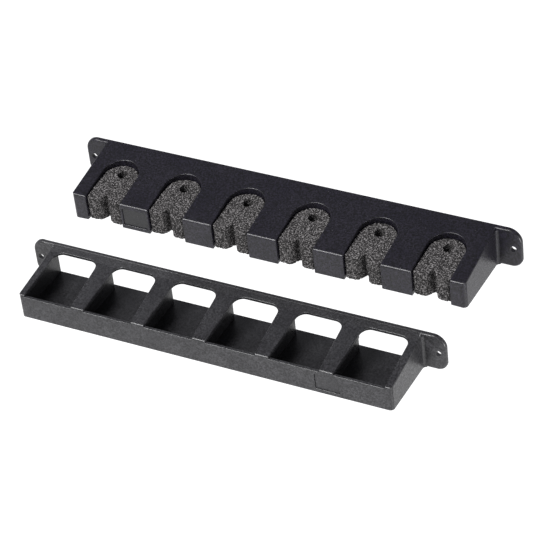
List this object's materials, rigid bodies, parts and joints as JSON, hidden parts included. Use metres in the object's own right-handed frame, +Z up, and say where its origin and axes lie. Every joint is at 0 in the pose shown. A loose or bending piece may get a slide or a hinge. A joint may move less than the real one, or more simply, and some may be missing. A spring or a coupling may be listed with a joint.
{
  "type": "wall rod and cue rack",
  "caption": "Vertical wall rack in two moulded plastic rails: a slotted upper rail with slit foam grips and a lower tray of open pockets, each with screw ears.",
  "frame": {"origin": "middle of the grip rail's flat back face, on the wall plane", "axes": "+X along the wall and both rails, +Y into the wall, +Z up; the rails stand out from the wall towards -Y"},
  "size_m": [0.44, 0.06, 0.1512],
  "materials": {
    "rail_plastic": "black injection-moulded plastic with a fine satin grain, glossier on rounded edges",
    "tray_plastic": "charcoal black injection-moulded plastic with a fine satin grain, a little lighter than the grip rail",
    "grip_foam": "open-cell charcoal foam, matte and speckled",
    "nameplate_plastic": "smooth satin black plastic, blank"
  },
  "bodies": {
    "root": {"grip_rail": "rail_plastic", "foam_grip_1": "grip_foam", "foam_grip_2": "grip_foam", "foam_grip_3": "grip_foam", "foam_grip_4": "grip_foam", "foam_grip_5": "grip_foam", "foam_grip_6": "grip_foam", "grip_rail_nameplate": "nameplate_plastic", "butt_tray": "tray_plastic", "butt_tray_nameplate": "nameplate_plastic"}
  },
  "joints": []
}
